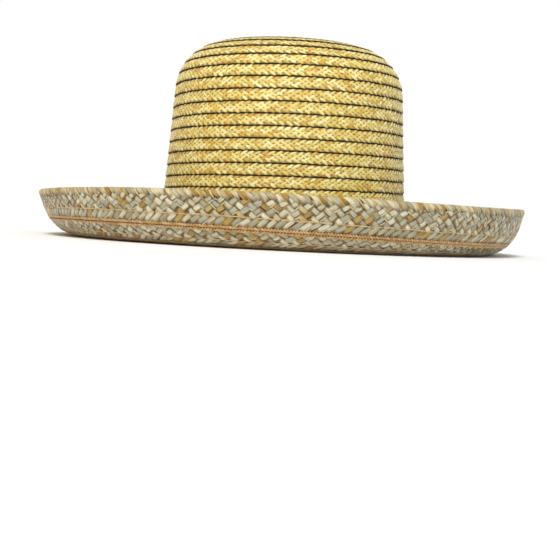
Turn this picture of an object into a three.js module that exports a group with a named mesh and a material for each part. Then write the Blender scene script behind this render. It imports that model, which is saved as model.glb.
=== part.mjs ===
// Sewn straw hat: a gold plait crown on a wide sage plait brim whose edge turns up all round.
// Millimetres and degrees, +Z up, front of the hat towards -Y. The hat rests on its brim at z = 0.
import * as THREE from 'three';
import { mergeVertices } from 'three/addons/utils/BufferGeometryUtils.js';

// Head opening, an oval a little longer than it is wide
const OPENING_HALF_WIDTH = 90.5;
const OPENING_EXTRA_LENGTH = 5.4;

// Crown, along its outside from the centre of the tip down to the foot
const TIP_FLAT = 8;
const TIP_SLOPE = 5;
const SHOULDER_RADIUS = 35;
const WALL_LENGTH = 90;
const WALL_TAPER = 3.8;
const FOOT_BEVEL = 0.6;
const CROWN_ROW = 8.4;
const CROWN_WALL = 1.2;
const CROWN_STEP = 0.9;
const CROWN_COLUMNS = 40;

// Brim, along its underside from the opening out to the edge
const BRIM_TUCK = 2.7;
const CROWN_SEAT = 3.5;
const BRIM_WIDTH = 107;
const BRIM_SLOPE = -19.5;
const CURL_START = 43;
const CURL_END = 103;
const EDGE_SLOPE = 78;
const BRIM_ROW = 17.3;
const FIRST_SEAM = 1.1;
const SEAM_TURNS = 5.3;
const BRIM_WALL = 1.9;
const BRIM_STEP = 0.6;
const BRIM_COLUMNS = 48;

// How the turned-up edge wanders: lobes round the brim, degrees of extra curl, and where it peaks
const EDGE_WAVES = [
  { lobes: 1, curl: 3.0, peak: 20 },
  { lobes: 2, curl: 3.5, peak: 75 },
  { lobes: 3, curl: 2.0, peak: 130 },
];

// Soutache braid in the seam under the brim
const SOUTACHE_WIDTH = 4.6;
const SOUTACHE_CREST = 3.4;
const SOUTACHE_THICKNESS = 1.2;
const SOUTACHE_TURNS = 5;
const JOINT_SHARE = 0.03;

// Ribbon sweatband inside the foot of the crown
const SWEATBAND_HEIGHT = 30;
const SWEATBAND_THICKNESS = 1.0;

const GAP = 0.3;
const STEP_LENGTH = 0.5;
const SNAP = 0.8;

const toRadians = THREE.MathUtils.degToRad;

// A curve given by its slope, stepped off from its start: radius, height and slope at a length along it
function curveFromSlope(slopeAt, length, startRadius) {
  const marks = [{ radius: startRadius, height: 0 }];
  for (let s = STEP_LENGTH / 2; s < length; s += STEP_LENGTH) {
    const last = marks[marks.length - 1];
    const slope = toRadians(slopeAt(s));
    marks.push({
      radius: last.radius + STEP_LENGTH * Math.cos(slope),
      height: last.height + STEP_LENGTH * Math.sin(slope),
    });
  }
  return (s) => {
    const step = THREE.MathUtils.clamp(Math.floor(s / STEP_LENGTH), 0, marks.length - 2);
    const part = s / STEP_LENGTH - step;
    return {
      radius: THREE.MathUtils.lerp(marks[step].radius, marks[step + 1].radius, part),
      height: THREE.MathUtils.lerp(marks[step].height, marks[step + 1].height, part),
      slope: toRadians(slopeAt(THREE.MathUtils.clamp(s, 0, length))),
    };
  };
}

// A column's direction: column 0 is the hat's left, and the columns run left, back, right, front
function columnAngle(column, columns) {
  return Math.PI - (2 * Math.PI * (column % columns)) / columns;
}

// A point at a length along a curve, lifted off it, on the oval through that column
function hatPoint(curve, s, lift, angle) {
  const { radius, height, slope } = curve(s);
  const across = radius - lift * Math.sin(slope);
  const along = across + OPENING_EXTRA_LENGTH * Math.min(1, across / OPENING_HALF_WIDTH);
  return [across * Math.cos(angle), along * Math.sin(angle), height + lift * Math.cos(slope)];
}

// The points of one column through a face whose rows spiral outwards, held between its two edges
function spiralLine(face, column) {
  const angle = columnAngle(column, face.columns);
  const curve = face.curveOf(column);
  const rows = Math.ceil((face.end - face.firstSeam) / face.pitch) + 1;
  const points = face.centre ? [hatPoint(curve, 0, face.startLift, angle)] : [];
  for (let row = -2; row <= rows; row += 1) {
    const turns = (row * face.columns + column) / face.columns;
    for (const { across, lift } of face.steps(turns)) {
      const s = face.firstSeam + face.pitch * (turns + across);
      if (s < face.start + SNAP) {
        points.push(hatPoint(curve, face.start, face.startLift, angle));
      } else if (s < face.seat) {
        points.push(hatPoint(curve, s, face.startLift, angle));
      } else if (s > face.end - SNAP) {
        points.push(hatPoint(curve, face.end, face.endLift, angle));
      } else {
        points.push(hatPoint(curve, s, lift, angle));
      }
    }
  }
  return points;
}

// The points of one column through a face with plain rings
function ringLine(face, column) {
  const angle = columnAngle(column, face.columns);
  return face.rings.map((s) => hatPoint(face.curveOf(column), s, face.lift, angle));
}

// A closed mesh from profiles of equal length: each is joined to the next, and points that meet merge
function meshFromProfiles(profiles, capped) {
  const size = profiles[0].length;
  const index = [];
  for (let i = 0; i < profiles.length - 1; i += 1) {
    for (let k = 0; k < size; k += 1) {
      const next = (k + 1) % size;
      const corners = [i * size + k, (i + 1) * size + k, (i + 1) * size + next, i * size + next];
      index.push(corners[0], corners[1], corners[2], corners[0], corners[2], corners[3]);
    }
  }
  if (capped) {
    const last = (profiles.length - 1) * size;
    for (let k = 1; k < size - 1; k += 1) {
      index.push(0, k, k + 1, last, last + k + 1, last + k);
    }
  }
  const loose = new THREE.BufferGeometry();
  loose.setAttribute('position', new THREE.Float32BufferAttribute(profiles.flat(2), 3));
  loose.setIndex(index);
  const merged = mergeVertices(loose, 1e-4);
  const kept = [];
  const ids = merged.index.array;
  for (let t = 0; t < ids.length; t += 3) {
    const [a, b, c] = [ids[t], ids[t + 1], ids[t + 2]];
    if (a !== b && b !== c && c !== a) {
      kept.push(a, b, c);
    }
  }
  merged.setIndex(kept);
  merged.computeVertexNormals();
  return merged;
}

// A wall between an upper and a lower face, closed round its edges
function wall(columns, upperLine, lowerLine) {
  const profiles = [];
  for (let column = 0; column <= columns; column += 1) {
    profiles.push([...upperLine(column), ...lowerLine(column).reverse()]);
  }
  return meshFromProfiles(profiles, false);
}

function named(name, geometry, color, roughness) {
  const material = new THREE.MeshStandardMaterial({ color, roughness, metalness: 0 });
  const mesh = new THREE.Mesh(geometry, material);
  mesh.name = name;
  return mesh;
}

// Crown curve: a nearly flat tip, a round shoulder and a wall that widens to the foot
const wallSlope = 90 - WALL_TAPER;
const shoulderLength = SHOULDER_RADIUS * toRadians(wallSlope - TIP_SLOPE);
const shoulderReach = SHOULDER_RADIUS * (Math.sin(toRadians(wallSlope)) - Math.sin(toRadians(TIP_SLOPE)));
const footRadius = OPENING_HALF_WIDTH - 1;
const tipLength = footRadius - shoulderReach - WALL_LENGTH * Math.sin(toRadians(WALL_TAPER));
const crownLength = tipLength + shoulderLength + WALL_LENGTH;

function crownSlope(s) {
  if (s > tipLength) {
    const turned = Math.min(1, (s - tipLength) / shoulderLength);
    return -(TIP_SLOPE + turned * (wallSlope - TIP_SLOPE));
  }
  return -TIP_SLOPE * THREE.MathUtils.clamp((s - TIP_FLAT) / (tipLength - TIP_FLAT), 0, 1);
}

const crownCurve = curveFromSlope(crownSlope, crownLength, 0);

// Each row starts under the row above and its lower edge stands out over the row below
function crownSteps() {
  return [
    { across: 0, lift: 0 },
    { across: 0.95, lift: CROWN_STEP },
  ];
}

const crownOutside = {
  columns: CROWN_COLUMNS,
  curveOf: () => crownCurve,
  centre: true,
  firstSeam: 0,
  pitch: CROWN_ROW,
  start: TIP_FLAT,
  startLift: CROWN_STEP / 2,
  end: crownLength + FOOT_BEVEL,
  endLift: CROWN_STEP,
  steps: crownSteps,
  seat: TIP_FLAT,
};

const shoulderRings = [0, 0.25, 0.5, 0.75, 1].map((part) => tipLength + part * shoulderLength);
const crownInside = {
  columns: CROWN_COLUMNS,
  curveOf: () => crownCurve,
  rings: [0, TIP_FLAT, tipLength / 2, ...shoulderRings, crownLength],
  lift: -CROWN_WALL,
};

function makeCrown() {
  const outside = (column) => spiralLine(crownOutside, column);
  const inside = (column) => ringLine(crownInside, column);
  return named('crown', wall(CROWN_COLUMNS, outside, inside), 0xd9bd6c, 0.6);
}

function makeSweatband() {
  const bottom = crownLength;
  const top = crownLength - SWEATBAND_HEIGHT;
  const face = { columns: CROWN_COLUMNS, curveOf: () => crownCurve, rings: [top, bottom] };
  const outer = (column) => ringLine({ ...face, lift: -CROWN_WALL - GAP }, column);
  const inner = (column) => ringLine({ ...face, lift: -CROWN_WALL - GAP - SWEATBAND_THICKNESS }, column);
  return named('sweatband', wall(CROWN_COLUMNS, outer, inner), 0x6b4a2c, 0.8);
}

// Brim curve: a slope down from the opening that curls up into the edge, a little more in places
function edgeSlopeAt(angle) {
  let slope = EDGE_SLOPE;
  for (const { lobes, curl, peak } of EDGE_WAVES) {
    slope += curl * Math.cos(lobes * (angle - toRadians(peak)));
  }
  return slope;
}

const brimCurves = [];
for (let column = 0; column < BRIM_COLUMNS; column += 1) {
  const edgeSlope = edgeSlopeAt(columnAngle(column, BRIM_COLUMNS));
  const slopeAt = (s) => {
    const curled = THREE.MathUtils.smoothstep(s, CURL_START, CURL_END);
    return THREE.MathUtils.lerp(BRIM_SLOPE, edgeSlope, curled);
  };
  brimCurves.push(curveFromSlope(slopeAt, BRIM_WIDTH, OPENING_HALF_WIDTH));
}

const seamHalf = (SOUTACHE_WIDTH / 2 + GAP) / BRIM_ROW;

// Under the brim each row is a low rib, with a flat-bottomed seam between rows as far as the braid runs
function brimUndersideSteps(turns) {
  const seamLift = turns > -0.01 && turns < SEAM_TURNS + 0.01 ? 0 : -BRIM_STEP;
  const ribStart = seamHalf + 0.11;
  return [
    { across: -seamHalf, lift: seamLift },
    { across: seamHalf, lift: seamLift },
    { across: ribStart, lift: -BRIM_STEP },
    { across: 1 - ribStart, lift: -BRIM_STEP },
  ];
}

// On top of the brim each row's outer edge lies over the start of the next row
function brimTopSteps() {
  return [
    { across: 0.2, lift: BRIM_WALL },
    { across: 0.5, lift: BRIM_WALL + BRIM_STEP / 2 },
    { across: 0.85, lift: BRIM_WALL + BRIM_STEP },
    { across: 1.17, lift: BRIM_WALL + BRIM_STEP },
  ];
}

const brimFace = {
  columns: BRIM_COLUMNS,
  curveOf: (column) => brimCurves[column % BRIM_COLUMNS],
  firstSeam: FIRST_SEAM,
  pitch: BRIM_ROW,
  start: -BRIM_TUCK,
  end: BRIM_WIDTH,
};

function makeBrim() {
  const top = { ...brimFace, startLift: BRIM_WALL, endLift: BRIM_WALL, seat: CROWN_SEAT };
  const underside = { ...brimFace, startLift: 0, endLift: 0, seat: -BRIM_TUCK };
  top.steps = brimTopSteps;
  underside.steps = brimUndersideSteps;
  const upper = (column) => spiralLine(top, column);
  const lower = (column) => spiralLine(underside, column);
  return named('brim', wall(BRIM_COLUMNS, upper, lower), 0xb9ad84, 0.7);
}

// The braid: a flat strip with a narrower outer face, in the seam at one column
function soutacheSection(column) {
  const inner = -GAP;
  const outer = -GAP - SOUTACHE_THICKNESS;
  const corners = [
    { across: -SOUTACHE_WIDTH / 2, lift: inner },
    { across: SOUTACHE_WIDTH / 2, lift: inner },
    { across: SOUTACHE_CREST / 2, lift: outer },
    { across: -SOUTACHE_CREST / 2, lift: outer },
  ];
  const seam = FIRST_SEAM + (BRIM_ROW * column) / BRIM_COLUMNS;
  const curve = brimFace.curveOf(column);
  const angle = columnAngle(column, BRIM_COLUMNS);
  return corners.map(({ across, lift }) => hatPoint(curve, seam + across, lift, angle));
}

// The braid is wound from the opening outwards, one mesh a turn, and the last turn takes its end too
function makeSoutacheTurn(turn) {
  const first = turn * BRIM_COLUMNS;
  const isLast = turn === SOUTACHE_TURNS - 1;
  const last = isLast ? Math.round(SEAM_TURNS * BRIM_COLUMNS) : first + BRIM_COLUMNS;
  const sections = [];
  for (let column = first; column <= last; column += 1) {
    sections.push(soutacheSection(column));
  }
  if (turn > 0) {
    const mix = (a, b) => a.map((value, axis) => THREE.MathUtils.lerp(value, b[axis], JOINT_SHARE));
    sections[0] = sections[0].map((corner, k) => mix(corner, sections[1][k]));
  }
  return named(`soutache_turn_${turn + 1}`, meshFromProfiles(sections, true), 0xc58f55, 0.75);
}

// The crown stands on the brim's inner margin
const brimMargin = hatPoint(brimCurves[0], -BRIM_TUCK, BRIM_WALL, 0);
const crownFoot = hatPoint(crownCurve, crownLength, -CROWN_WALL, 0);
const crownGroup = new THREE.Group();
crownGroup.add(makeCrown(), makeSweatband());
crownGroup.position.z = brimMargin[2] + GAP - crownFoot[2];

// The origin is the middle of the hat's box, on the surface that the brim rests on
const hat = new THREE.Group();
hat.add(crownGroup, makeBrim());
for (let turn = 0; turn < SOUTACHE_TURNS; turn += 1) {
  hat.add(makeSoutacheTurn(turn));
}
hat.updateMatrixWorld(true);
const extent = new THREE.Box3().setFromObject(hat, true);
const middle = extent.getCenter(new THREE.Vector3());
hat.position.set(-middle.x, -middle.y, -extent.min.z);

export default hat;
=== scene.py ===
# Sewn straw hat: a gold plait crown on a wide sage plait brim whose edge turns up all round.
# The hat's own sizes are millimetres and degrees, as a hatter gives them, and meshes are metres.
import math

import bmesh
import bpy
import numpy as np
from mathutils import Matrix, Vector


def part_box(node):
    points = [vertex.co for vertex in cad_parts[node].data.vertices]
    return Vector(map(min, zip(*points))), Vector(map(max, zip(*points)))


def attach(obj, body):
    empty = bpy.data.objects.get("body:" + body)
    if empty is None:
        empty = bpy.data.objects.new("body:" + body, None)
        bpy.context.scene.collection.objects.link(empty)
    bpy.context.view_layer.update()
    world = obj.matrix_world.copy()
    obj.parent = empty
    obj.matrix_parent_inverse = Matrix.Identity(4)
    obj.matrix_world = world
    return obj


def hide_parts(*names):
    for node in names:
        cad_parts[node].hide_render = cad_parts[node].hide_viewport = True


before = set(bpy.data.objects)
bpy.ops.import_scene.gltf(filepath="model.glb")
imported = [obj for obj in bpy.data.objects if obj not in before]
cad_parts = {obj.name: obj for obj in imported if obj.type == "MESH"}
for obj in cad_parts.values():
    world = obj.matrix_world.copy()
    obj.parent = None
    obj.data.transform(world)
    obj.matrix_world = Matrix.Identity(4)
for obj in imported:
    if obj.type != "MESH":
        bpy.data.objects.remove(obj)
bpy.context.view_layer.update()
MM = 0.001

# Head opening, an oval a little longer than it is wide
OPENING_HALF_WIDTH = 90.5
OPENING_EXTRA_LENGTH = 5.4

# Crown, along its outside from the centre of the tip down to the foot
TIP_FLAT = 8
TIP_SLOPE = 5
SHOULDER_RADIUS = 35
WALL_LENGTH = 90
WALL_TAPER = 3.8
CROWN_ROW = 8.4
CROWN_WALL = 1.2
CROWN_STEP = 0.9

# Brim, along its underside from the opening out to the edge
BRIM_TUCK = 2.7
BRIM_WIDTH = 107
BRIM_SLOPE = -19.5
CURL_START = 43
CURL_END = 103
EDGE_SLOPE = 78
BRIM_ROW = 17.3
FIRST_SEAM = 1.1
SEAM_TURNS = 5.3
BRIM_WALL = 1.9

# How the turned-up edge wanders: lobes round the brim, degrees of extra curl, and where it peaks
EDGE_WAVES = ((1, 3.0, 20), (2, 3.5, 75), (3, 2.0, 130))

# Braid in the seam under the brim, and the ribbon inside the foot of the crown
BRAID_WIDTH = 4.6
BRAID_THICKNESS = 1.2
RIBBON_HEIGHT = 30
RIBBON_THICKNESS = 1.0

GAP = 0.3
STEP_LENGTH = 0.5

# The hat's side curves, and places on its surfaces


def crown_sizes():
    """Lengths along the crown's curve: of the tip, and of the tip with the shoulder."""
    wall_slope = math.radians(90 - WALL_TAPER)
    tip_slope = math.radians(TIP_SLOPE)
    reach = SHOULDER_RADIUS * (math.sin(wall_slope) - math.sin(tip_slope))
    foot = OPENING_HALF_WIDTH - 1
    tip = foot - reach - WALL_LENGTH * math.sin(math.radians(WALL_TAPER))
    return tip, tip + SHOULDER_RADIUS * (wall_slope - tip_slope)


TIP_LENGTH, SHOULDER_END = crown_sizes()
CROWN_LENGTH = SHOULDER_END + WALL_LENGTH


def crown_slope(s, angle):
    turned = np.clip((s - TIP_LENGTH) / (SHOULDER_END - TIP_LENGTH), 0, 1)
    tip = TIP_SLOPE * np.clip((s - TIP_FLAT) / (TIP_LENGTH - TIP_FLAT), 0, 1)
    return -(tip + turned * (90 - WALL_TAPER - TIP_SLOPE)) + 0 * angle


def brim_slope(s, angle):
    waves = sum(curl * np.cos(lobes * (angle - math.radians(peak))) for lobes, curl, peak in EDGE_WAVES)
    edge = EDGE_SLOPE + waves
    part = np.clip((s - CURL_START) / (CURL_END - CURL_START), 0, 1)
    return BRIM_SLOPE + (edge - BRIM_SLOPE) * part * part * (3 - 2 * part)


class HatCurve:
    """The hat's side curve, stepped off from its start at every degree round the hat."""

    def __init__(self, slope_at, length, start_radius):
        self.slope_at = slope_at
        self.length = length
        middles = np.arange(STEP_LENGTH / 2, length, STEP_LENGTH)
        slopes = np.radians(slope_at(middles[:, None], np.radians(np.arange(360))[None, :]))
        start = np.zeros((1, 360))
        self.radius = start_radius + STEP_LENGTH * np.vstack([start, np.cumsum(np.cos(slopes), axis=0)])
        self.height = STEP_LENGTH * np.vstack([start, np.cumsum(np.sin(slopes), axis=0)])

    def _read(self, table, s, angle):
        row = np.clip(np.floor(s / STEP_LENGTH).astype(int), 0, len(table) - 2)
        column = np.degrees(angle) % 360
        low = np.floor(column).astype(int) % 360
        high = (low + 1) % 360
        down = s / STEP_LENGTH - row
        onward = column - np.floor(column)
        near = table[row, low] * (1 - down) + table[row + 1, low] * down
        far = table[row, high] * (1 - down) + table[row + 1, high] * down
        return near * (1 - onward) + far * onward

    def points(self, s, lift, angle):
        """Points in millimetres from the hat's axis, at lengths along the curve and lifts off it."""
        slope = np.radians(self.slope_at(np.clip(s, 0, self.length), angle))
        across = self._read(self.radius, s, angle) - lift * np.sin(slope)
        along = across + OPENING_EXTRA_LENGTH * np.minimum(1, across / OPENING_HALF_WIDTH)
        height = self._read(self.height, s, angle) + lift * np.cos(slope)
        return np.stack([across * np.cos(angle), along * np.sin(angle), height], axis=-1)


crown_curve = HatCurve(crown_slope, CROWN_LENGTH, 0)
brim_curve = HatCurve(brim_slope, BRIM_WIDTH, OPENING_HALF_WIDTH)

# The hat's axis and the heights of both curves' starts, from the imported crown
crown_low, crown_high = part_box("crown")
AXIS = np.array([(crown_low.x + crown_high.x) / 2, (crown_low.y + crown_high.y) / 2, 0]) / MM
margin = brim_curve.points(np.array(-BRIM_TUCK), np.array(BRIM_WALL), np.array(0.0))
foot = crown_curve.points(np.array(CROWN_LENGTH), np.array(-CROWN_WALL), np.array(0.0))
CROWN_START = crown_high.z / MM - CROWN_STEP
BRIM_START = CROWN_START - (margin[2] + GAP - foot[2])


def on_crown(s, lift, angle):
    return (crown_curve.points(s, lift, angle) + AXIS + (0, 0, CROWN_START)) * MM


def on_brim(s, lift, angle):
    return (brim_curve.points(s, lift, angle) + AXIS + (0, 0, BRIM_START)) * MM


def angle_at(turns):
    """Direction of a place on a spiral, which starts at the left and runs by the back, right and front."""
    return math.pi - 2 * math.pi * turns


def lengths_along(points):
    """How far along a line each of its points lies."""
    steps = np.linalg.norm(np.diff(points, axis=0), axis=1)
    return np.concatenate([[0], np.cumsum(steps)])


class Spiral:
    """A row sewn in a spiral: a length along its middle is turned into turns round the hat."""

    def __init__(self, curve, first, row, start, end):
        self.first = first
        self.row = row
        self.turns = np.arange(start, end, 1 / 360)
        middle = np.maximum(first + row * (self.turns + 0.5), 1.0)
        self.lengths = lengths_along(curve.points(middle, np.zeros_like(middle), angle_at(self.turns)))

    def place(self, x, y):
        """Turns and length along the hat's curve, for x along the row and y out from its seam."""
        turns = np.interp(x, self.lengths, self.turns)
        return turns, self.first + self.row * turns + y


# Small tools for trees, colours and meshes


def srgb(text):
    """A colour such as #c9c6ad, as linear RGBA."""
    parts = [int(text[i : i + 2], 16) / 255 for i in (1, 3, 5)]
    return (*[p / 12.92 if p <= 0.04045 else ((p + 0.055) / 1.055) ** 2.4 for p in parts], 1.0)


def set_stops(colour_ramp, stops):
    """Gives a colour ramp its stops, each a place from 0 to 1 and a colour."""
    while len(colour_ramp.elements) < len(stops):
        colour_ramp.elements.new(1.0)
    for element, (place, colour) in zip(colour_ramp.elements, stops):
        element.position = place
        element.color = srgb(colour)


def socket_in_use(sockets, key=0):
    """The socket of a place or a name, among those that the node's settings leave in use."""
    in_use = [socket for socket in sockets if socket.enabled]
    return in_use[key] if isinstance(key, int) else next(socket for socket in in_use if socket.name == key)


def add(tree, kind, inputs=(), stops=(), **settings):
    """Adds one node: its settings, its colour stops and its inputs, which go by place or by name.

    An input is a value, a socket to link from, or a node, which is linked from its first output."""
    node = tree.nodes.new(kind)
    for name, value in settings.items():
        setattr(node, name, value)
    if stops:
        set_stops(node.color_ramp, stops)
    for key, value in inputs.items() if isinstance(inputs, dict) else enumerate(inputs):
        socket = socket_in_use(node.inputs, key)
        source = socket_in_use(value.outputs) if isinstance(value, bpy.types.Node) else value
        if isinstance(source, bpy.types.NodeSocket):
            tree.links.new(source, socket)
        else:
            socket.default_value = source
    return node


def new_object(name, mesh, materials):
    for material in materials:
        mesh.materials.append(material)
    piece = bpy.data.objects.new(name, mesh)
    bpy.context.scene.collection.objects.link(piece)
    return piece


# Strands. One tree makes a flat band of domed strand tiles, each the stretch of a strand that shows
# between two crossings, and the band is then wound on the hat.

STRAND_INPUTS = {
    "Count": "Int", "Cells_Along": "Int", "Cells_Across": "Int", "Seed": "Int",
    "Start": "Float", "Spacing": "Float", "Row": "Float", "Lean": "Float", "Length": "Float",
    "Width": "Float", "Taper": "Float", "Dome": "Float", "Wave": "Float", "Crossing": "Float",
    "Shift": "Float", "Turn": "Float", "Vary": "Float", "Material": "Material",
}
STRAND_DEFAULTS = {
    "Cells_Along": 4, "Cells_Across": 3, "Seed": 1, "Start": 0.0, "Row": 0.0, "Lean": 0.0, "Taper": 0.0,
    "Dome": 0.25, "Wave": 0.0, "Crossing": 5.0, "Shift": 0.0, "Turn": 0.0, "Vary": 0.0,
}
DOME_SQUARENESS = 2.5
MATH = "ShaderNodeMath"
COMBINE = "ShaderNodeCombineXYZ"


def strand_tile(tree, given):
    """A unit grid, domed across and waved along, with ends that dip under the crossings.

    Each point keeps, as "fibre", its place along and across the strand and its nearness to an end."""
    columns = add(tree, MATH, (given["Cells_Along"], 1), operation="ADD")
    rows = add(tree, MATH, (given["Cells_Across"], 1), operation="ADD")
    grid = add(tree, "GeometryNodeMeshGrid", {"Vertices X": columns, "Vertices Y": rows})
    place = add(tree, "ShaderNodeSeparateXYZ", (add(tree, "GeometryNodeInputPosition"),))
    along, across = place.outputs["X"], place.outputs["Y"]
    to_end = add(tree, MATH, (along, 2), operation="MULTIPLY")
    to_side = add(tree, MATH, (across, 2), operation="MULTIPLY")

    length = add(tree, MATH, (along, given["Length"]), operation="MULTIPLY")
    half_waves = add(tree, MATH, (length, math.pi), operation="MULTIPLY")
    phase = add(tree, MATH, (half_waves, given["Crossing"]), operation="DIVIDE")
    cosine = add(tree, MATH, (phase,), operation="COSINE")
    wave = add(tree, MATH, (cosine, given["Wave"]), operation="MULTIPLY")
    side = add(tree, MATH, (to_side,), operation="ABSOLUTE")
    fall = add(tree, MATH, (side, DOME_SQUARENESS), operation="POWER")
    left = add(tree, MATH, (1, fall), operation="SUBTRACT")
    dome = add(tree, MATH, (left, given["Dome"]), operation="MULTIPLY")
    height = add(tree, MATH, (wave, dome), operation="ADD")

    end = add(tree, MATH, (to_end, 2), operation="POWER")
    lost = add(tree, MATH, (end, given["Taper"]), operation="MULTIPLY")
    narrow = add(tree, MATH, (1, lost), operation="SUBTRACT")
    tapered = add(tree, MATH, (across, narrow), operation="MULTIPLY")
    shape = add(tree, COMBINE, (along, tapered, height))

    width = add(tree, MATH, (across, given["Width"]), operation="MULTIPLY")
    nearness = add(tree, MATH, (to_end,), operation="ABSOLUTE")
    fibre = add(tree, COMBINE, (length, width, nearness))
    marked = add(tree, "GeometryNodeStoreNamedAttribute", {
        "Geometry": grid, "Name": "fibre", "Value": fibre}, data_type="FLOAT_VECTOR", domain="POINT")
    return add(tree, "GeometryNodeSetPosition", {"Geometry": marked, "Position": shape})


def strand_tree():
    """The band: a line of tiles, each a little out of place, turned and sized, with a tone of its own."""
    tree = bpy.data.node_groups.new("Band of strands", "GeometryNodeTree")
    tree.interface.new_socket("Geometry", in_out="OUTPUT", socket_type="NodeSocketGeometry")
    for name, kind in STRAND_INPUTS.items():
        tree.interface.new_socket(name, in_out="INPUT", socket_type="NodeSocket" + kind)
    given = add(tree, "NodeGroupInput").outputs

    def wander(middle, reach, draw):
        """A number for each strand, up to reach away from middle. Draws of another number differ."""
        low = add(tree, MATH, (middle, reach), operation="SUBTRACT")
        high = add(tree, MATH, (middle, reach), operation="ADD")
        seed = add(tree, MATH, (given["Seed"], draw), operation="ADD")
        limits = {"Min": low, "Max": high, "Seed": seed}
        return add(tree, "FunctionNodeRandomValue", limits, data_type="FLOAT")

    start = add(tree, COMBINE, (given["Start"], given["Row"]))
    step = add(tree, COMBINE, (given["Spacing"],))
    line = add(tree, "GeometryNodeMeshLine", {
        "Count": given["Count"], "Start Location": start, "Offset": step})
    nudge = add(tree, COMBINE, (wander(0, given["Shift"], 1), wander(0, given["Shift"], 2)))
    points = add(tree, "GeometryNodeSetPosition", {"Geometry": line, "Offset": nudge})
    turn = add(tree, MATH, (given["Lean"], wander(0, given["Turn"], 3)), operation="ADD")
    length = add(tree, MATH, (given["Length"], wander(1, given["Vary"], 4)), operation="MULTIPLY")
    width = add(tree, MATH, (given["Width"], wander(1, given["Vary"], 5)), operation="MULTIPLY")
    size = add(tree, COMBINE, (length, width, wander(1, given["Vary"], 6)))
    placed = add(tree, "GeometryNodeInstanceOnPoints", {
        "Points": points, "Instance": strand_tile(tree, given),
        "Rotation": add(tree, COMBINE, {"Z": turn}), "Scale": size})
    tone = {"Geometry": placed, "Name": "tone", "Value": wander(0.5, 0.5, 7)}
    toned = add(tree, "GeometryNodeStoreNamedAttribute", tone, data_type="FLOAT", domain="INSTANCE")
    real = add(tree, "GeometryNodeRealizeInstances", (toned,))
    done = add(tree, "GeometryNodeSetMaterial", {"Geometry": real, "Material": given["Material"]})
    add(tree, "NodeGroupOutput", (done,))
    return tree


STRANDS = strand_tree()


def flat_band(material, **sizes):
    """The band as arrays: tiles' points, tones and places on the strand, and one tile's faces."""
    maker = bpy.data.objects.new("band maker", bpy.data.meshes.new("band maker"))
    bpy.context.scene.collection.objects.link(maker)
    modifier = maker.modifiers.new("Band", "NODES")
    modifier.node_group = STRANDS
    sockets = {s.name: s.identifier for s in STRANDS.interface.items_tree if s.in_out == "INPUT"}
    for name, value in {**STRAND_DEFAULTS, **sizes, "Material": material}.items():
        modifier[sockets[name]] = value
    view = bpy.context.evaluated_depsgraph_get()
    mesh = bpy.data.meshes.new_from_object(maker.evaluated_get(view))
    bpy.data.objects.remove(maker)
    tiles = sizes["Count"]
    points = np.empty(len(mesh.vertices) * 3)
    fibre = np.empty(len(mesh.vertices) * 3)
    tone = np.empty(len(mesh.vertices))
    corners = np.empty(len(mesh.loops), dtype=int)
    mesh.vertices.foreach_get("co", points)
    mesh.attributes["fibre"].data.foreach_get("vector", fibre)
    mesh.attributes["tone"].data.foreach_get("value", tone)
    mesh.loops.foreach_get("vertex_index", corners)
    faces = corners.reshape(tiles, -1, 4)[0]
    bpy.data.meshes.remove(mesh)
    return points.reshape(tiles, -1, 3), tone.reshape(tiles, -1), fibre.reshape(tiles, -1, 3), faces


# Faces smaller than this, in square metres, are left out
LEAST_FACE = 0.002 * MM * MM


class StrandPile:
    """Wound tiles of one piece, gathered band by band and then made one mesh."""

    def __init__(self):
        self.points, self.tones, self.fibres, self.faces, self.slots = [], [], [], [], []
        self.count = 0

    def add(self, points, tone, fibre, faces, slot=0, flip=False):
        tiles, size = points.shape[:2]
        if not tiles:
            return
        quads = faces[:, ::-1] if flip else faces
        firsts = self.count + size * np.arange(tiles)
        self.points.append(points.reshape(-1, 3))
        self.tones.append(tone.reshape(-1))
        self.fibres.append(fibre.reshape(-1, 3))
        self.faces.append((quads[None] + firsts[:, None, None]).reshape(-1, 4))
        self.slots.append(np.full(tiles * len(faces), slot))
        self.count += tiles * size

    def make(self, name, materials):
        """One mesh. Faces that an edge of the straw has squeezed flat are left out, with their points."""
        points = np.concatenate(self.points)
        faces = np.concatenate(self.faces)
        first, second, third, fourth = (points[faces[:, corner]] for corner in range(4))
        area = np.linalg.norm(np.cross(third - first, fourth - second), axis=1) / 2
        solid = area > LEAST_FACE
        used, faces = np.unique(faces[solid], return_inverse=True)
        mesh = bpy.data.meshes.new(name)
        mesh.from_pydata(points[used].tolist(), [], faces.reshape(-1, 4).tolist())
        tones = mesh.attributes.new("tone", "FLOAT", "POINT")
        tones.data.foreach_set("value", np.concatenate(self.tones)[used])
        fibres = mesh.attributes.new("fibre", "FLOAT_VECTOR", "POINT")
        fibres.data.foreach_set("vector", np.concatenate(self.fibres)[used].ravel())
        mesh.polygons.foreach_set("use_smooth", np.ones(len(mesh.polygons), dtype=bool))
        piece = new_object(name, mesh, materials)
        mesh.polygons.foreach_set("material_index", np.concatenate(self.slots)[solid])
        return piece


def wind(pile, material, keep, spiral, surface, lift_at, slot=0, flip=False, **sizes):
    """Makes a flat band as long as the spiral and winds the tiles that keep() wants onto a surface."""
    count = int(spiral.lengths[-1] / sizes["Spacing"])
    points, tone, fibre, faces = flat_band(material, Count=count, **sizes)
    kept = keep(*spiral.place(points[:, :, 0].mean(axis=1), points[:, :, 1].mean(axis=1)))
    points = points[kept]
    turns, s = spiral.place(points[:, :, 0], points[:, :, 1])
    wound = surface(s, lift_at(points[:, :, 1], points[:, :, 2], s), angle_at(turns))
    pile.add(wound, tone[kept], fibre[kept], faces, slot, flip)


# Materials. The first three patterns are in cells to a millimetre, along and across a strand, and each
# strand reads its own part of them, up to NEXT_STRAND away. The three after that are millimetres.

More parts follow.
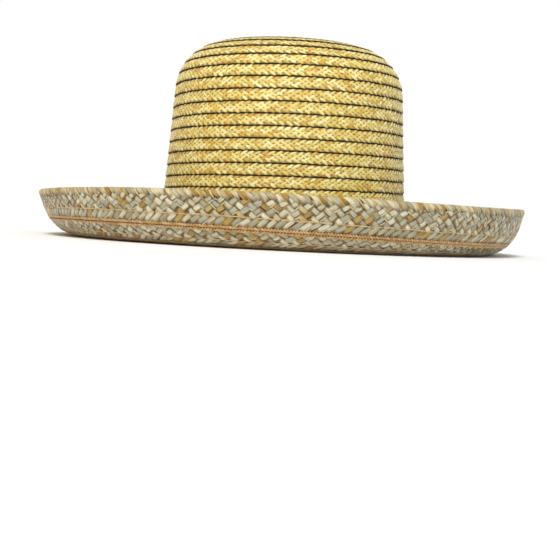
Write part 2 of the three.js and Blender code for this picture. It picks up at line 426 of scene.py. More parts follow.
STRAW_FIBRES = (0.16, 2.4, 0.0)
UNDYED_PATCHES = (0.08, 0.45, 0.0)
YARN_TWIST = (0.8, 5.0, 1.0)
NEXT_STRAND = (31.0, 17.0, 7.0)
BACKING_MOTTLE = 2.5
RIB_SPACING = 1.0
CROWN_STRAND = 5.6

# A wave texture of this scale has one band to a unit
ONE_BAND = 0.314


def new_material(name):
    material = bpy.data.materials.new(name)
    material.use_nodes = True
    material.node_tree.nodes.clear()
    return material, material.node_tree


def strand_marks(tree):
    """What every strand carries: a random tone of its own, and each point's place on it."""
    tone = add(tree, "ShaderNodeAttribute", attribute_name="tone").outputs["Fac"]
    fibre = add(tree, "ShaderNodeAttribute", attribute_name="fibre").outputs["Vector"]
    return tone, fibre


def finish_material(tree, colour, height, relief, finish):
    """The shader with its colour, a bump of some millimetres, and the constants of its finish."""
    bump = add(tree, "ShaderNodeBump", {"Strength": 1.0, "Distance": relief * MM, "Height": height})
    shader = add(tree, "ShaderNodeBsdfPrincipled", {"Base Color": colour, "Normal": bump, **finish})
    add(tree, "ShaderNodeOutputMaterial", {"Surface": shader})


def straw(name, tones, half_width, painted_shade, unshaded_share, bare, bare_share):
    """Split straw strand: a satin skin with fine lengthwise fibres and patches that took no dye.

    At its sides and ends, where it dips under the next strand, its colour goes towards a painted shade
    and keeps only the given share of itself. In the patches up to bare_share of its colour is bare's."""
    material, tree = new_material(name)
    tone, fibre = strand_marks(tree)
    colour = add(tree, "ShaderNodeValToRGB", (tone,), tones)

    # Fibres 0.4 mm apart and some 6 mm long, read at another place for each strand
    shift = add(tree, "ShaderNodeVectorMath", {"Vector": NEXT_STRAND, "Scale": tone}, operation="SCALE")
    moved = add(tree, "ShaderNodeVectorMath", (fibre, shift), operation="ADD")
    fibres = add(tree, "ShaderNodeMapping", {"Vector": moved, "Scale": STRAW_FIBRES})
    streak = add(tree, "ShaderNodeTexNoise", {"Vector": fibres, "Scale": 1.0, "Detail": 3.0})
    streaks = add(tree, "ShaderNodeMapRange", {
        "Value": streak, "From Min": 0.3, "From Max": 0.7, "To Min": 0.62, "To Max": 1.26})
    patches = add(tree, "ShaderNodeMapping", {"Vector": moved, "Scale": UNDYED_PATCHES})
    patch = add(tree, "ShaderNodeTexNoise", {"Vector": patches, "Scale": 1.0, "Detail": 1.0})
    undyed = add(tree, "ShaderNodeMapRange", {
        "Value": patch, "From Min": 0.52, "From Max": 0.62, "To Min": 0.0, "To Max": bare_share})
    dyed = add(tree, "ShaderNodeMix", {"Factor": undyed, "A": colour, "B": srgb(bare)}, data_type="RGBA")

    # Painted shade: each strand darkens to brown towards its sides and where it dips under the next
    parts = add(tree, "ShaderNodeSeparateXYZ", (fibre,))
    unshaded = 1.0
    for part, half in (("Z", 0.95), ("Y", half_width)):
        reach = add(tree, MATH, (parts.outputs[part],), operation="ABSOLUTE")
        shade = add(tree, "ShaderNodeMapRange", {
            "Value": reach, "From Min": 0.58 * half, "From Max": half, "To Min": 1.0, "To Max": unshaded_share})
        unshaded = add(tree, MATH, (shade, unshaded), operation="MULTIPLY")
    fibrous = add(tree, "ShaderNodeVectorMath", {"Vector": dyed, "Scale": streaks}, operation="SCALE")
    tinted = add(tree, "ShaderNodeMix", {"Factor": unshaded, "A": srgb(painted_shade), "B": fibrous}, data_type="RGBA")
    finish_material(tree, tinted, streak, 0.12, {
        "Roughness": 0.48, "IOR": 1.5, "Specular IOR Level": 0.4, "Sheen Weight": 0.15,
        "Sheen Roughness": 0.5})
    return material


def cotton_yarn(name, tones, side_shade_share):
    """Mercerised cotton yarn: soft lustre, fine twist, and a painted brown shade towards its sides, as
    strong as the share given.
    """
    material, tree = new_material(name)
    tone, fibre = strand_marks(tree)
    twisted = add(tree, "ShaderNodeMapping", {"Vector": fibre, "Scale": YARN_TWIST})
    twist = add(tree, "ShaderNodeTexNoise", {"Vector": twisted, "Scale": 1.0, "Detail": 2.0})
    colour = add(tree, "ShaderNodeValToRGB", (tone,), tones)
    level = add(tree, "ShaderNodeMapRange", {
        "Value": twist, "From Min": 0.3, "From Max": 0.7, "To Min": 0.85, "To Max": 1.1})
    tinted = add(tree, "ShaderNodeVectorMath", {"Vector": colour, "Scale": level}, operation="SCALE")
    # Painted shade: the yarn goes brown towards its sides
    across = add(tree, "ShaderNodeSeparateXYZ", (fibre,)).outputs["Y"]
    reach = add(tree, MATH, (across,), operation="ABSOLUTE")
    side = add(tree, "ShaderNodeMapRange", {
        "Value": reach, "From Min": 0.28, "From Max": 0.62, "To Min": 0.0, "To Max": side_shade_share})
    shaded = add(tree, "ShaderNodeMix", {
        "Factor": side, "A": tinted, "B": srgb("#7d5528")}, data_type="RGBA")
    finish_material(tree, shaded, twist, 0.05, {
        "Roughness": 0.62, "IOR": 1.5, "Sheen Weight": 0.25, "Sheen Roughness": 0.4})
    return material


def backing(name, dark, light):
    """The strands' undersides and painted shade seen through the gaps of the plait: dull dark straw."""
    material, tree = new_material(name)
    here = add(tree, "ShaderNodeTexCoord").outputs["Object"]
    mottle = add(tree, "ShaderNodeTexNoise", {
        "Vector": here, "Scale": 1 / (BACKING_MOTTLE * MM), "Detail": 2.0})
    colour = add(tree, "ShaderNodeValToRGB", (mottle,), ((0.35, dark), (0.65, light)))
    finish_material(tree, colour, mottle, 0.1, {"Roughness": 0.85, "IOR": 1.45})
    return material


def plait_inside(name):
    """Inside of the gold plait: courses of flat strands, and a dark seam between the sewn rows."""
    material, tree = new_material(name)
    place = add(tree, "ShaderNodeAttribute", attribute_name="fibre").outputs["Vector"]
    strands = add(tree, "ShaderNodeTexBrick", {
        "Vector": place, "Color1": srgb("#cfae62"), "Color2": srgb("#b18f4b"), "Mortar": srgb("#6a5528"),
        "Scale": 1.0, "Mortar Size": 0.2, "Mortar Smooth": 0.5, "Brick Width": CROWN_STRAND,
        "Row Height": CROWN_ROW / 4})
    along = add(tree, "ShaderNodeSeparateXYZ", (place,)).outputs["Y"]
    row = add(tree, MATH, (along, CROWN_ROW / 2, -CROWN_ROW / 2), operation="WRAP")
    from_seam = add(tree, MATH, (row,), operation="ABSOLUTE")
    seam = add(tree, "ShaderNodeMapRange", {
        "Value": from_seam, "From Min": 0.3, "From Max": 0.9, "To Min": 0.3, "To Max": 1.0})
    tinted = add(tree, "ShaderNodeVectorMath", {"Vector": strands, "Scale": seam}, operation="SCALE")
    finish_material(tree, tinted, seam, 0.3, {"Roughness": 0.6, "IOR": 1.5})
    return material


def grosgrain(name):
    """Ribbed rayon ribbon: ribs across its width, 1 mm apart round the hat, dull brown, with painted shade
    between the ribs.
    """
    material, tree = new_material(name)
    place = add(tree, "ShaderNodeAttribute", attribute_name="fibre").outputs["Vector"]
    ribbed = add(tree, "ShaderNodeTexWave", {
        "Vector": place, "Scale": ONE_BAND / RIB_SPACING, "Distortion": 0.4, "Detail": 1.0})
    ribs = ribbed.outputs["Fac"]
    wear = add(tree, "ShaderNodeTexNoise", {"Vector": place, "Scale": 0.06, "Detail": 3.0})
    colour = add(tree, "ShaderNodeValToRGB", (wear,), ((0.3, "#53391b"), (0.7, "#7d5a2e")))
    # Painted shade: darker in the hollows between the ribs
    level = add(tree, "ShaderNodeMapRange", {"Value": ribs, "To Min": 0.7, "To Max": 1.1})
    tinted = add(tree, "ShaderNodeVectorMath", {"Vector": colour, "Scale": level}, operation="SCALE")
    finish_material(tree, tinted, ribs, 0.15, {"Roughness": 0.75, "IOR": 1.5, "Sheen Weight": 0.2})
    return material


# Each straw paints shade at its strands' sides and ends, in the colour given after half_width
# The brim's broad strands: cool grey-green straw, with one in seven left gold-brown
sage_straw = straw(
    "sage dyed split straw, plaited",
    tones=((0.0, "#939075"), (0.3, "#aeaa8e"), (0.6, "#c0bb9d"), (0.84, "#d4ceb0"), (0.87, "#b5974f"),
           (1.0, "#8e6f36")),
    half_width=1.75, painted_shade="#4c3414", unshaded_share=0.24, bare="#b8934c", bare_share=0.6)

# The slivers beside them: mostly gold-brown, and some sage
brown_straw = straw(
    "gold-brown split straw, plaited",
    tones=((0.0, "#6a5029"), (0.3, "#86693a"), (0.58, "#a5834a"), (0.62, "#b2ab8c"), (1.0, "#c9c2a2")),
    half_width=0.6, painted_shade="#4c3a20", unshaded_share=0.5, bare="#c09a50", bare_share=0.4)

# The slivers that are folded over the brim's edge: gold straw painted lighter, a painted highlight of the
# light on the rim
rim_highlight_straw = straw(
    "honey coloured split straw, plaited",
    tones=((0.0, "#9c7636"), (0.4, "#c29c50"), (0.8, "#d8b768"), (1.0, "#e6d39a")),
    half_width=0.6, painted_shade="#5c431c", unshaded_share=0.5, bare="#d9c58c", bare_share=0.4)

# The crown's strands: pale gold with deeper yellow ones among them
gold_straw = straw(
    "natural gold straw, plaited",
    tones=((0.0, "#c79f42"), (0.12, "#dab44f"), (0.3, "#e4cd72"), (0.8, "#ecdb89"), (1.0, "#f8eeae")),
    half_width=1.15, painted_shade="#6e5622", unshaded_share=0.4, bare="#e0b348", bare_share=0.45)

# What shows through the gaps: painted shade, darkest in the seams of the crown, where it paints the shadow
# under each row's edge
brim_backing = backing("shaded straw behind the sage plait", "#3a2c18", "#5b4826")
brim_top_backing = backing("shaded straw under the top strands", "#57482a", "#7a6842")
crown_backing = backing("shaded straw behind the gold plait", "#1f1b0b", "#3a3417")
gold_backing = backing("gold straw deep in the plait", "#93763a", "#b0924a")
crown_inside = plait_inside("natural gold straw, inside of the plait")

# Trim: a warm tan braid with a dark groove, tan thread, and a dull brown ribbon
tan_yarn = cotton_yarn(
    "tan mercerised cotton soutache", ((0.0, "#ad864a"), (0.5, "#c6a062"), (1.0, "#d8b67e")), 0.85)
groove_yarn = cotton_yarn("red-brown core of the soutache", ((0.0, "#4a2c16"), (1.0, "#6a4424")), 0.0)
sewing_thread = cotton_yarn("tan cotton sewing thread", ((0.0, "#b8925a"), (1.0, "#d0ae76")), 0.0)
ribbon_stuff = grosgrain("brown rayon grosgrain ribbon")

# Shells: the closed straw walls behind the plait

SHELL_STEP = 3.0
SHELL_INSET = 0.05
RIM_RADIUS = 1.45
RIM_LIFT = 0.75
RIM_CENTRE = BRIM_WIDTH - RIM_RADIUS - 0.3
RIM_CORE = 0.8
RIM_POINTS = 7
CROWN_COLUMNS = 144
BRIM_COLUMNS = 192
RIBBON_COLUMNS = 240


def spaced(start, end, step):
    return np.linspace(start, end, max(2, int(round(abs(end - start) / step)) + 1))


def shell(name, surface, profile, columns, materials, second_below=-math.inf):
    """A closed wall from a closed profile of (length along the curve, lift), turned round the hat.

    Faces whose lift is under second_below take the second material. Each corner keeps its place on
    the wall in millimetres, round the hat and along its curve, as the attribute "fibre"."""
    s, lift = (np.array(values, dtype=float) for values in zip(*profile))
    size = len(profile)
    column, row = np.meshgrid(np.arange(columns), np.arange(size), indexing="ij")
    points = surface(s[row], lift[row], 2 * math.pi * column / columns)
    here, up = column.ravel(), row.ravel()
    corner_columns = np.stack([here, here, here + 1, here + 1], -1)
    corner_rows = np.stack([up, up + 1, up + 1, up], -1) % size
    faces = corner_columns % columns * size + corner_rows
    mesh = bpy.data.meshes.new(name)
    mesh.from_pydata(points.reshape(-1, 3).tolist(), [], faces.tolist())
    around = corner_columns * 2 * math.pi / columns * OPENING_HALF_WIDTH
    places = mesh.attributes.new("fibre", "FLOAT_VECTOR", "CORNER")
    places.data.foreach_set("vector", np.stack([around, s[corner_rows], 0 * around], -1).ravel())
    second = (lift[corner_rows] < second_below).all(axis=1)
    mesh.polygons.foreach_set("material_index", second.astype(int))
    close_shell(mesh)
    return new_object(name, mesh, materials)


def close_shell(mesh):
    """Merges the points that meet at the hat's axis, turns the faces outwards and smooths them."""
    work = bmesh.new()
    work.from_mesh(mesh)
    bmesh.ops.remove_doubles(work, verts=work.verts, dist=1e-6)
    bmesh.ops.recalc_face_normals(work, faces=work.faces)
    for face in work.faces:
        face.smooth = True
    work.to_mesh(mesh)
    work.free()


def make_crown_shell():
    profile = [(s, 0.0) for s in spaced(0, CROWN_LENGTH, SHELL_STEP)]
    profile += [(s, -CROWN_WALL) for s in spaced(CROWN_LENGTH, 0, SHELL_STEP)]
    inside_below = -0.9 * CROWN_WALL
    straws = [crown_backing, crown_inside]
    return shell("crown_shell", on_crown, profile, CROWN_COLUMNS, straws, inside_below)


def make_brim_shell():
    """The brim's wall, with a round rim that is a little thinner than the folds laid over it."""
    straight_end = RIM_CENTRE - 1
    profile = [(s, BRIM_WALL - SHELL_INSET) for s in spaced(-BRIM_TUCK, straight_end, SHELL_STEP)]
    for turn in np.linspace(-math.pi / 2, math.pi / 2, RIM_POINTS):
        s = RIM_CENTRE + RIM_RADIUS * math.cos(turn) * RIM_CORE
        profile.append((s, RIM_LIFT - RIM_RADIUS * math.sin(turn) * RIM_CORE))
    profile += [(s, -SHELL_INSET) for s in spaced(straight_end, -BRIM_TUCK, SHELL_STEP)]
    straws = [brim_top_backing, brim_backing]
    return shell("brim_shell", on_brim, profile, BRIM_COLUMNS, straws, second_below=BRIM_WALL / 2)


crown_shell = make_crown_shell()
brim_shell = make_brim_shell()

# Crown plait: narrow rows of leaf-shaped strands, four lines of them to a row, over a gold bed. The bed
# leaves the seam between two rows dark, a painted shadow under each row's edge. A line is its distance out
# from the row's start, and its lean.

CROWN_LINES = ((1.95, 27), (3.45, -27), (4.95, 27), (6.45, -27))
CROWN_SPACING = 4.8
SEAM_WIDTH = 1.1
STRAND_LIFT = 0.1
CROWN_RISE = CROWN_STEP - 0.25
BED_DROP = 0.08
crown_spiral = Spiral(crown_curve, 0, CROWN_ROW, -0.45, (CROWN_LENGTH - CROWN_ROW * 0.2) / CROWN_ROW)


def crown_lift(y, z, s):
    """Each row starts under the row above, and its lower edge stands out over the row below."""
    part = np.clip(y / CROWN_ROW, 0, 1)
    return STRAND_LIFT + CROWN_RISE * part + z


def crown_bed_lift(y, z, s):
    return crown_lift(y, z, s) - BED_DROP


def on_crown_bed(s, lift, angle):
    return on_crown(np.minimum(s, CROWN_LENGTH - 0.3), lift, angle)


def crown_keep(turns, s):
    return (s > -0.5) & (s < CROWN_LENGTH - 0.6)


def crown_bed_keep(turns, s):
    return (s > -0.5) & (s < CROWN_LENGTH + CROWN_ROW / 2 - 1.6)


def make_crown_plait():
    pile = StrandPile()
    wind(pile, gold_backing, crown_bed_keep, crown_spiral, on_crown_bed, crown_bed_lift, slot=1,
         Spacing=8.0, Row=CROWN_ROW / 2, Length=8.1, Width=CROWN_ROW - SEAM_WIDTH, Dome=0.0,
         Cells_Along=2, Cells_Across=1)
    for line, (row, lean) in enumerate(CROWN_LINES):
        wind(pile, gold_straw, crown_keep, crown_spiral, on_crown, crown_lift,
             Spacing=CROWN_SPACING, Start=CROWN_SPACING / 2 * (line % 2), Row=row, Lean=math.radians(lean),
             Length=CROWN_STRAND, Width=2.25, Taper=0.5, Dome=0.26, Wave=0.16, Crossing=4.2,
             Shift=0.24, Turn=0.16, Vary=0.16, Seed=10 + 20 * line)
    return pile.make("crown_plait", [gold_straw, gold_backing])


crown_plait = make_crown_plait()

# Brim plait: plain weave of paired strands, a broad sage strip with a brown sliver beside it. Lines of
# crossings follow the row, leaning one way and then the other. Next to the seam the strands run long.
# A strip of a pair is its width, its distance across from the pair's middle, its dome and its cells.

PAIR = ((3.55, 0.5, 0.42, 3), (1.0, -1.75, 0.2, 2))
LEAN = math.radians(38)
STRAND_SPACING = 7.5
LINE_SPACING = 2.9
BRIM_STRAWS = [sage_straw, brown_straw]


def paired(pile, lean, row, start, seed, **sizes):
    """A line of strands wound with wind(): the broad strip of each and the sliver beside it."""
    for slot, (width, offset, dome, cells) in enumerate(PAIR):
        wind(pile, BRIM_STRAWS[slot], slot=slot, Width=width, Dome=dome, Cells_Across=cells, Lean=lean,
             Start=start - offset * math.sin(lean), Row=row + offset * math.cos(lean),
             Seed=seed + 400 * slot, **sizes)


def woven_lines(pile, first_row, lines, seed, keep_line, **sizes):
    for line in range(lines):
        paired(pile, LEAN if line % 2 == 0 else -LEAN, first_row + LINE_SPACING * line,
               STRAND_SPACING / 2 * (line % 2), seed + 40 * line, Spacing=STRAND_SPACING, Length=6.3,
               Wave=0.42, Crossing=4.74, Shift=0.32, Turn=0.12, Vary=0.14, Taper=0.06,
               keep=lambda turns, s: keep_line(turns, s, line), **sizes)


def long_line(pile, row, seed, keep_line, **sizes):
    paired(pile, -LEAN, row, 0.0, seed, Spacing=5.3, Length=9.6, Wave=0.3, Crossing=8.5, Shift=0.3,
           Turn=0.1, Vary=0.1, Taper=0.1, keep=lambda turns, s: keep_line(turns, s, 0), **sizes)


def below(depth):
    """Strands laid under the brim, so far below its wall, with their domes downwards."""
    return lambda y, z, s: -depth - z


# Underside: three woven lines a row, and more in the last row, which has no seam beyond it

UNDER_LINES = 3
LAST_ROW_LINES = 8
WOVEN_DEPTH = 0.42
LONG_DEPTH = 0.62
RIM_CLEAR = 2.8
brim_spiral = Spiral(brim_curve, FIRST_SEAM, BRIM_ROW, -1.0, SEAM_TURNS + 0.05)


def underside_keep(turns, s, line):
    on_part = (s > -4.5) & (s < BRIM_WIDTH - RIM_CLEAR) & (turns < SEAM_TURNS)
    return on_part & ((line < UNDER_LINES) | (turns > SEAM_TURNS - 1))


def before_braid_keep(turns, s, line):
    return (turns < 0) & (s > -2.0)


def under_brim(s, lift, angle):
    """The strands end in a straight line at the brim's inner margin."""
    return on_brim(np.maximum(s, 0.3 - BRIM_TUCK), lift, angle)


def make_underside_plait():
    pile = StrandPile()
    face = {"spiral": brim_spiral, "surface": under_brim, "flip": True}
    woven = {"lift_at": below(WOVEN_DEPTH), **face}
    woven_lines(pile, first_row=8.9, lines=LAST_ROW_LINES, seed=1000, keep_line=underside_keep, **woven)
    woven_lines(pile, first_row=1.5, lines=1, seed=5000, keep_line=before_braid_keep, **woven)
    long_line(pile, row=5.1, seed=2000, keep_line=underside_keep, lift_at=below(LONG_DEPTH), **face)
    return pile.make("brim_underside_plait", BRIM_STRAWS)


brim_underside_plait = make_underside_plait()

# Top of the brim: five woven lines a row

TOP_LINES = 5
TOP_RISE = 1.1
LEVEL_EDGE = 8
top_spiral = Spiral(brim_curve, FIRST_SEAM, BRIM_ROW, -1.0, (BRIM_WIDTH - FIRST_SEAM) / BRIM_ROW)


def top_keep(turns, s, line):
    return (s > 0.5) & (s < BRIM_WIDTH - 3.2)


def top_lift(y, z, s):
    """On top each row's outer edge lies over the start of the next row, and levels out at the rim."""
    level = np.clip((BRIM_WIDTH - s) / LEVEL_EDGE, 0, 1)
    return BRIM_WALL + STRAND_LIFT + TOP_RISE * level * np.clip((y - 1) / BRIM_ROW, 0, 1) + z


def make_top_plait():
    pile = StrandPile()
    face = {"spiral": top_spiral, "surface": on_brim, "lift_at": top_lift}
    woven_lines(pile, first_row=1.7, lines=TOP_LINES, seed=3000, keep_line=top_keep, **face)
    long_line(pile, row=15.4, seed=4000, keep_line=top_keep, **face)
    return pile.make("brim_top_plait", BRIM_STRAWS)


brim_top_plait = make_top_plait()

# Brim edge: the outermost strands turn over the rim and go back, as slanted folds. A strand is its
# start along the edge, its width and its seed.

EDGE_STRANDS = ((0.0, 3.6, 51), (2.2, 1.25, 61))
EDGE_STRAWS = [sage_straw, rim_highlight_straw]
EDGE_SPACING = 4.3
EDGE_POINTS = 721
FOLD_RADIUS = RIM_RADIUS + 0.25


def round_rim(out, z, angle):
    """A place at a distance round the rim: under the brim below 0, on top of it above 0."""
    reach = FOLD_RADIUS + z
    turned = np.clip(out / FOLD_RADIUS, -math.pi / 2, math.pi / 2)
    beyond = np.maximum(np.abs(out) - math.pi / 2 * FOLD_RADIUS, 0)
    s = RIM_CENTRE + reach * np.cos(turned) - beyond
    return on_brim(s, RIM_LIFT + reach * np.sin(turned), angle)


def make_edge_plait():
    pile = StrandPile()
    edge_turns = np.linspace(0, 1, EDGE_POINTS)
    edge = np.full_like(edge_turns, BRIM_WIDTH)
    lengths = lengths_along(brim_curve.points(edge, np.zeros_like(edge), angle_at(edge_turns)))
    count = int(round(lengths[-1] / EDGE_SPACING))
    for slot, (start, width, seed) in enumerate(EDGE_STRANDS):
        points, tone, fibre, faces = flat_band(
            EDGE_STRAWS[slot], Count=count, Spacing=lengths[-1] / count, Start=start,
            Lean=math.radians(48), Length=15.0, Width=width, Dome=0.35, Wave=0.2, Crossing=9.0, Shift=0.5,
            Taper=0.35, Turn=0.14, Vary=0.14, Seed=seed, Cells_Along=10)
        turns = np.interp(points[:, :, 0] % lengths[-1], lengths, edge_turns)
        pile.add(round_rim(points[:, :, 1], points[:, :, 2], angle_at(turns)), tone, fibre, faces, slot)
    return pile.make("brim_edge_plait", EDGE_STRAWS)


brim_edge_plait = make_edge_plait()

# Soutache: two ribs of slanted yarn that meet in a groove, over a dark core, stitched down the groove.
# A rib is the side of the groove that it's on, its yarn's lean and its seed.

BRAID_RIBS = ((1, 38, 71), (-1, -38, 72))
YARN_SPACING = 1.95
YARN_HEIGHT = 0.34
RIB_HALF_WIDTH = BRAID_WIDTH / 4
RIB_OVERHANG = 0.12
CORE_HALF_WIDTH = 2.28
CORE_INSET = 0.1
CORE_POINTS = 9
CORE_COLUMNS = 900
TURN_LENGTH = 800
END_MARGIN = 0.002
braid_spiral = Spiral(brim_curve, FIRST_SEAM, BRIM_ROW, 0.0, SEAM_TURNS)


def rib_height(y):
    """Height of the two ribs over the brim's seam, y from the middle of the braid."""
    part = np.clip((np.abs(y) - RIB_HALF_WIDTH) / (RIB_HALF_WIDTH + RIB_OVERHANG), -1, 1)
    return (BRAID_THICKNESS - YARN_HEIGHT) * np.sqrt(1 - part * part)


def braid_lift(y, z, s):
    return -GAP - rib_height(y) - z


def braid_keep(turns, s):
    return turns < SEAM_TURNS - END_MARGIN


def braid_core(pile):
    """The core under the yarn, a strip with two low ribs from the braid's start to its end."""
    section = [(y, GAP + max(0.0, float(rib_height(y)) - CORE_INSET))
               for y in np.linspace(-CORE_HALF_WIDTH, CORE_HALF_WIDTH, CORE_POINTS)]
    section += [(CORE_HALF_WIDTH, GAP), (-CORE_HALF_WIDTH, GAP)]
    across, drop = (np.array(values) for values in zip(*section))
    size = len(section)
    turns, y = np.meshgrid(np.linspace(END_MARGIN, SEAM_TURNS - END_MARGIN, CORE_COLUMNS), across,
                           indexing="ij")
    s = FIRST_SEAM + BRIM_ROW * turns + y
    points = on_brim(s, -drop + 0 * s, angle_at(turns))
    column, row = np.meshgrid(np.arange(CORE_COLUMNS - 1), np.arange(size), indexing="ij")
    here, up, next_up = column.ravel() * size, row.ravel(), (row.ravel() + 1) % size
    faces = np.stack([here + up, here + size + up, here + size + next_up, here + next_up], -1)
    fibre = np.stack([turns * TURN_LENGTH, y, 0 * s], -1)
    pile.add(points.reshape(1, -1, 3), np.full(s.size, 0.5), fibre, faces, slot=1)


def make_soutache_braid():
    pile = StrandPile()
    face = {"spiral": braid_spiral, "surface": on_brim, "lift_at": braid_lift, "flip": True}
    for side, lean, seed in BRAID_RIBS:
        wind(pile, tan_yarn, braid_keep, Spacing=YARN_SPACING, Start=0.4, Row=side * RIB_HALF_WIDTH,
             Lean=math.radians(lean), Length=3.1, Width=1.35, Taper=0.2, Dome=0.26, Shift=0.06, Turn=0.06,
             Vary=0.08, Seed=seed, Cells_Across=2, **face)
    wind(pile, groove_yarn, braid_keep, slot=1, Spacing=YARN_SPACING, Start=0.9, Lean=math.radians(15),
         Length=0.95, Width=0.65, Taper=0.4, Dome=0.4, Shift=0.12, Turn=0.3, Vary=0.3, Seed=77,
         Cells_Along=3, Cells_Across=2, **face)
    braid_core(pile)
    return pile.make("soutache_braid", [tan_yarn, groove_yarn])


soutache_braid = make_soutache_braid()

# Sewing: a line of long stitches in each row of the brim, one under it and one on top

THREAD_DEPTH = 0.98
THREAD_LIFT = 0.75


def under_thread_keep(turns, s):
    return (turns > 0) & (turns < SEAM_TURNS - 0.02) & (s < BRIM_WIDTH - 5)


def top_thread_keep(turns, s):
    return (s > 3) & (s < BRIM_WIDTH - 5)


def top_thread_lift(y, z, s):
    return top_lift(y, z, s) + THREAD_LIFT


def make_stitching():
    pile = StrandPile()
    thread = {"Spacing": 8.0, "Start": 1.0, "Taper": 0.3, "Crossing": 7.0, "Shift": 0.25, "Turn": 0.04,
              "Vary": 0.1, "Cells_Along": 6, "Cells_Across": 2}
    wind(pile, sewing_thread, under_thread_keep, brim_spiral, on_brim, below(THREAD_DEPTH), flip=True,
         Row=8.2, Length=7.7, Width=0.9, Dome=0.3, Wave=0.1, Seed=91, **thread)
    wind(pile, sewing_thread, top_thread_keep, top_spiral, on_brim, top_thread_lift,
         Row=16.4, Length=6.6, Width=0.85, Dome=0.25, Wave=0.12, Seed=93, **thread)
    return pile.make("brim_stitching", [sewing_thread])


brim_stitching = make_stitching()

# Sweatband: a ribbon inside the foot of the crown, its lower edge a small roll

ROLL_RADIUS = 0.5
RIBBON_SWELL = 0.2


def make_sweatband():
    outer = -CROWN_WALL - GAP
    inner = outer - RIBBON_THICKNESS
    top = CROWN_LENGTH - RIBBON_HEIGHT
    roll = CROWN_LENGTH - ROLL_RADIUS
    profile = [(s, outer) for s in spaced(top, roll, 4)]
    for turn in np.linspace(0.3, math.pi - 0.3, 5):
        lift = (outer + inner) / 2 + ROLL_RADIUS * math.cos(turn)
        profile.append((roll + ROLL_RADIUS * math.sin(turn), lift))
    for s in spaced(CROWN_LENGTH - 0.6, top, 2):
        profile.append((s, inner + RIBBON_SWELL * math.sin((s - top) * math.pi / RIBBON_HEIGHT)))
    return shell("sweatband_ribbon", on_crown, profile, RIBBON_COLUMNS, [ribbon_stuff])


sweatband_ribbon = make_sweatband()

# What each piece rides on, what it stands for, and the name of its finish, which nothing here applies

for piece, nodes, slot in (
    (crown_shell, ("crown",), "gold_straw_plait"),
    (crown_plait, (), "gold_straw_plait"),
    (brim_shell, ("brim",), "sage_straw_plait"),
    (brim_underside_plait, (), "sage_straw_plait"),
    (brim_top_plait, (), "sage_straw_plait"),
    (brim_edge_plait, (), "sage_straw_plait"),
    (soutache_braid, tuple(f"soutache_turn_{turn}" for turn in range(1, 6)), "tan_braid"),
    (brim_stitching, (), "tan_braid"),
    (sweatband_ribbon, ("sweatband",), "brown_ribbon"),
):
    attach(piece, "root")
    if nodes:
        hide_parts(*nodes)

# Studio, in metres: a pale floor, white walls and soft light from above and in front

FLOOR_HALF_SIDE = 60.0
WALL_LIGHT = 0.95
CEILING_LIGHT = 0.38
KEY_FROM = (-0.08, -0.62, 0.85)
KEY_LIGHT = 2.45
KEY_SPREAD = math.radians(20)
SOFTBOX_AT = (0.2, -1.6, 0.4)
SOFTBOX_AIM = (0, 0, 0.04)
SOFTBOX_SIZE = 0.9
SOFTBOX_WATTS = 1.2


def place_in_scene(name, data):
    thing = bpy.data.objects.new(name, data)
    bpy.context.scene.collection.objects.link(thing)
    return thing


def studio_floor():
    side = FLOOR_HALF_SIDE
    mesh = bpy.data.meshes.new("floor")
    mesh.from_pydata([(-side, -side, 0), (side, -side, 0), (side, side, 0), (-side, side, 0)], [],
                     [(0, 1, 2, 3)])
    material, tree = new_material("pale matt floor")
    shader = add(tree, "ShaderNodeBsdfPrincipled", {"Base Color": srgb("#f8f8f7"), "Roughness": 0.9})
    add(tree, "ShaderNodeOutputMaterial", {"Surface": shader})
    new_object("floor", mesh, [material])


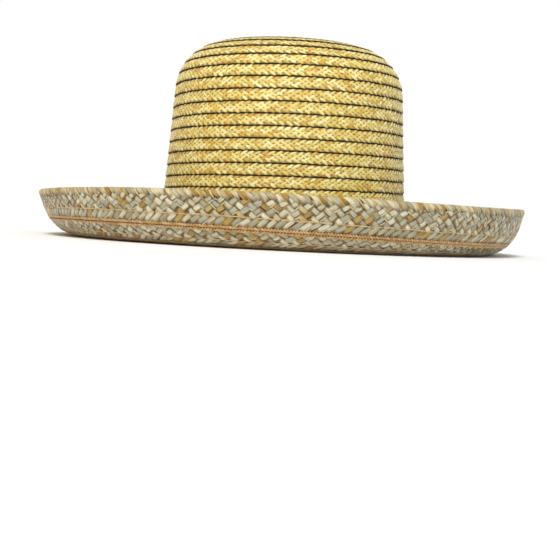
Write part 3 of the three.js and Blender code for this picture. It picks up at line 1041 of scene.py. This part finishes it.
def studio_walls():
    """White behind the hat. As lights the walls are warm at the left and dimmer right and overhead."""
    world = bpy.data.worlds.new("studio walls")
    world.use_nodes = True
    tree = world.node_tree
    tree.nodes.clear()
    way = add(tree, "ShaderNodeSeparateXYZ", (add(tree, "ShaderNodeTexCoord").outputs["Generated"],))
    side = add(tree, "ShaderNodeMapRange", {"Value": way.outputs["X"], "From Min": -1.0})
    glow = add(tree, "ShaderNodeValToRGB", (side,), (
        (0.0, "#c8a67c"), (0.32, "#ffffff"), (0.66, "#fafcff"), (1.0, "#b2bac8")))
    rise = add(tree, "ShaderNodeMapRange", {
        "Value": way.outputs["Z"], "From Min": 0.25, "From Max": 0.9, "To Min": WALL_LIGHT,
        "To Max": CEILING_LIGHT})
    walls = add(tree, "ShaderNodeBackground", {"Color": glow, "Strength": rise})
    backdrop = add(tree, "ShaderNodeBackground", {"Color": (1, 1, 1, 1), "Strength": 1.0})
    seen = add(tree, "ShaderNodeLightPath").outputs["Is Camera Ray"]
    both = add(tree, "ShaderNodeMixShader", (seen, walls, backdrop))
    add(tree, "ShaderNodeOutputWorld", {"Surface": both})
    bpy.context.scene.world = world


def studio_lights():
    key = bpy.data.lights.new("key light", "SUN")
    key.energy = KEY_LIGHT
    key.angle = KEY_SPREAD
    place_in_scene("key light", key).rotation_euler = Vector(KEY_FROM).to_track_quat("Z", "Y").to_euler()
    box = bpy.data.lights.new("front softbox", "AREA")
    box.shape = "DISK"
    box.size = SOFTBOX_SIZE
    box.energy = SOFTBOX_WATTS
    lamp = place_in_scene("front softbox", box)
    lamp.location = SOFTBOX_AT
    lamp.rotation_euler = (Vector(SOFTBOX_AIM) - Vector(SOFTBOX_AT)).to_track_quat("-Z", "Y").to_euler()


studio_floor()
studio_lights()
studio_walls()
bpy.context.scene.view_settings.view_transform = "Standard"

# The camera stands low over the floor, 0.87 m in front of the hat's middle. Its focal length is the
# one fitted to the photograph, whose frame takes in 27 degrees.

CAMERA_DISTANCE = 0.872
CAMERA_HEIGHT = 0.022
CAMERA_TILT = math.radians(-3.2)
CAMERA_ROLL = math.radians(2.8)
FOCAL_PIXELS = 1162
FRAME_PIXELS = 560
SENSOR_WIDTH = 36


def camera():
    data = bpy.data.cameras.new("camera")
    data.sensor_width = SENSOR_WIDTH
    data.lens = FOCAL_PIXELS / FRAME_PIXELS * SENSOR_WIDTH
    data.clip_start = 0.005
    eye = place_in_scene("camera", data)
    turn = Matrix.Rotation(math.pi / 2 + CAMERA_TILT, 4, "X") @ Matrix.Rotation(CAMERA_ROLL, 4, "Z")
    eye.matrix_world = Matrix.Translation((AXIS[0] * MM, -CAMERA_DISTANCE, CAMERA_HEIGHT)) @ turn
    bpy.context.scene.camera = eye


camera()
